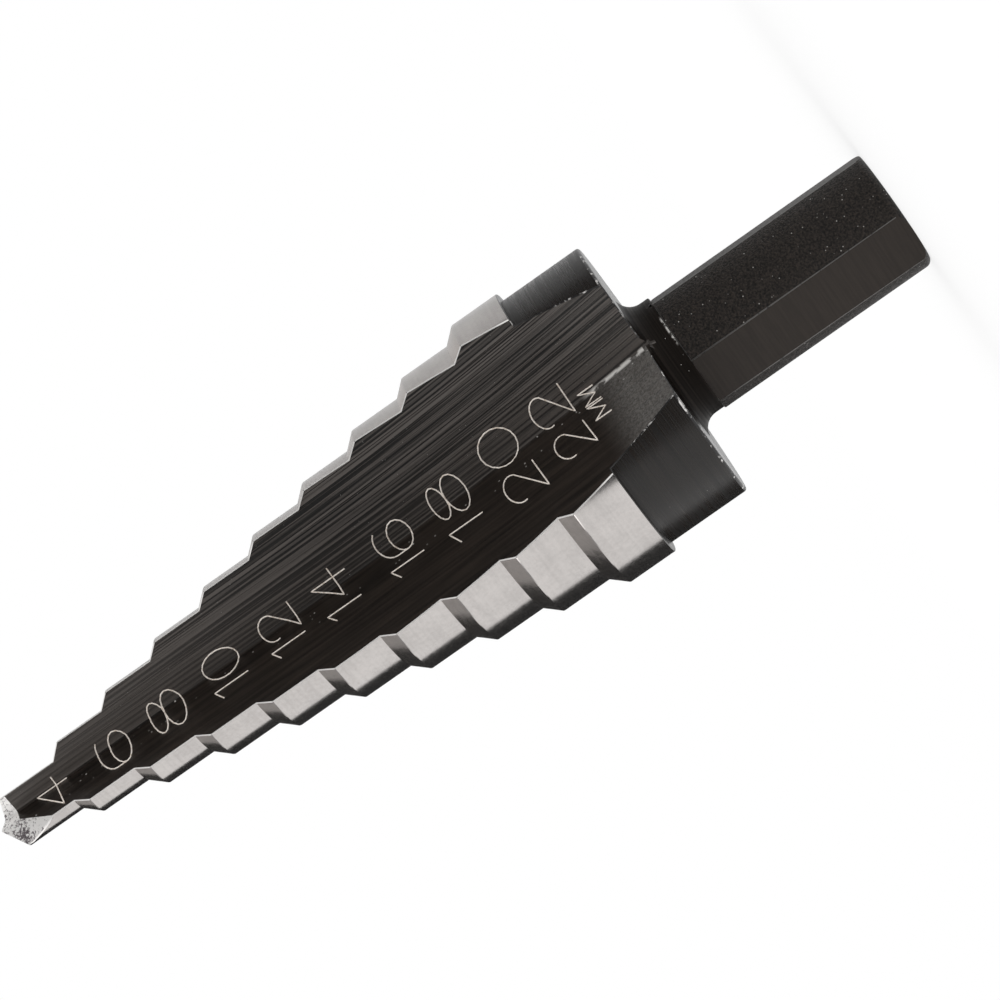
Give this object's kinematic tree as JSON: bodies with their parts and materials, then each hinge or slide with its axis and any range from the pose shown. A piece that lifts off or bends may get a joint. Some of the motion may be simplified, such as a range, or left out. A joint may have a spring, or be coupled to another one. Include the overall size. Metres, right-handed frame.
{
  "type": "step drill",
  "caption": "Stepped conical drill with a single straight flute, a ground point, a plain collar and a round shank with three flats, for opening round holes in sheet.",
  "frame": {"origin": "centre of the shank's flat end face", "axes": "+Z along the drill's axis from the shank's end to the point, cutting face in the plane X = 0 on the side of -Y and facing +X"},
  "size_m": [0.022, 0.022, 0.0771],
  "materials": {
    "tool_steel": "black oxide on the shank, collar and flute, with the lands, slopes and point ground bright"
  },
  "bodies": {
    "root": {"step_drill": "tool_steel"}
  },
  "joints": []
}
